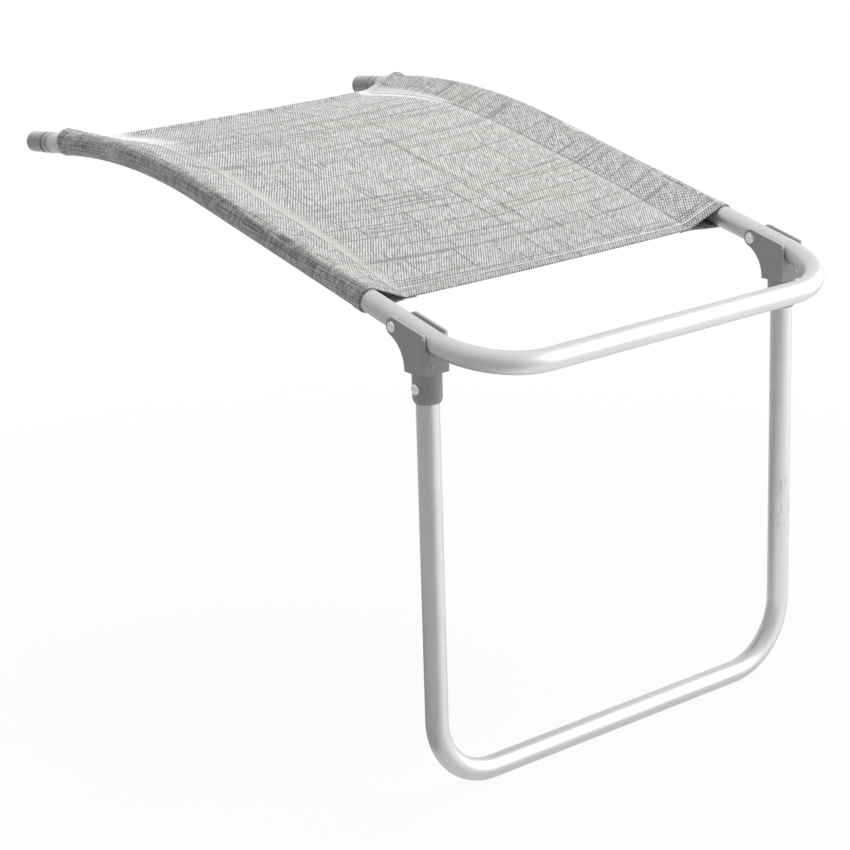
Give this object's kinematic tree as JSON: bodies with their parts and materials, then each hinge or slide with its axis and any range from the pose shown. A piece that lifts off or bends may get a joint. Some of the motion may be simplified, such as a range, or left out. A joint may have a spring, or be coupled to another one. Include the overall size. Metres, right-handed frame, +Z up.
{
  "type": "clip-on chair footrest",
  "caption": "Bent tube footrest with a mesh sling and a folding U-shaped leg, plugged into a garden chair at its rear.",
  "frame": {"origin": "midpoint between the centres of the two end plugs' outer faces, where the footrest joins the chair", "axes": "+X to the right across the footrest, +Y to the rear towards the chair, +Z up"},
  "size_m": [0.5024, 0.7528, 0.5632],
  "materials": {
    "tube": "satin anodised",
    "mesh": "woven mesh, grey and white",
    "bracket": "satin moulded",
    "rivet": "bright",
    "plug": "glossy moulded"
  },
  "bodies": {
    "seat": {"seat_tube": "tube", "sling": "mesh", "left_end_plug": "plug", "right_end_plug": "plug", "left_pivot_rivet": "rivet", "right_pivot_rivet": "rivet", "left_pivot_washer": "rivet", "right_pivot_washer": "rivet"},
    "leg": {"leg_tube": "tube", "left_bracket": "bracket", "right_bracket": "bracket", "left_leg_rivet": "rivet", "right_leg_rivet": "rivet"}
  },
  "joints": [
    {"name": "leg_fold", "type": "hinge", "parent": "seat", "child": "leg", "pos_m": [0, -0.62948, -0.08016], "axis": [1, 0, 0], "range_deg": [0, 102]}
  ]
}
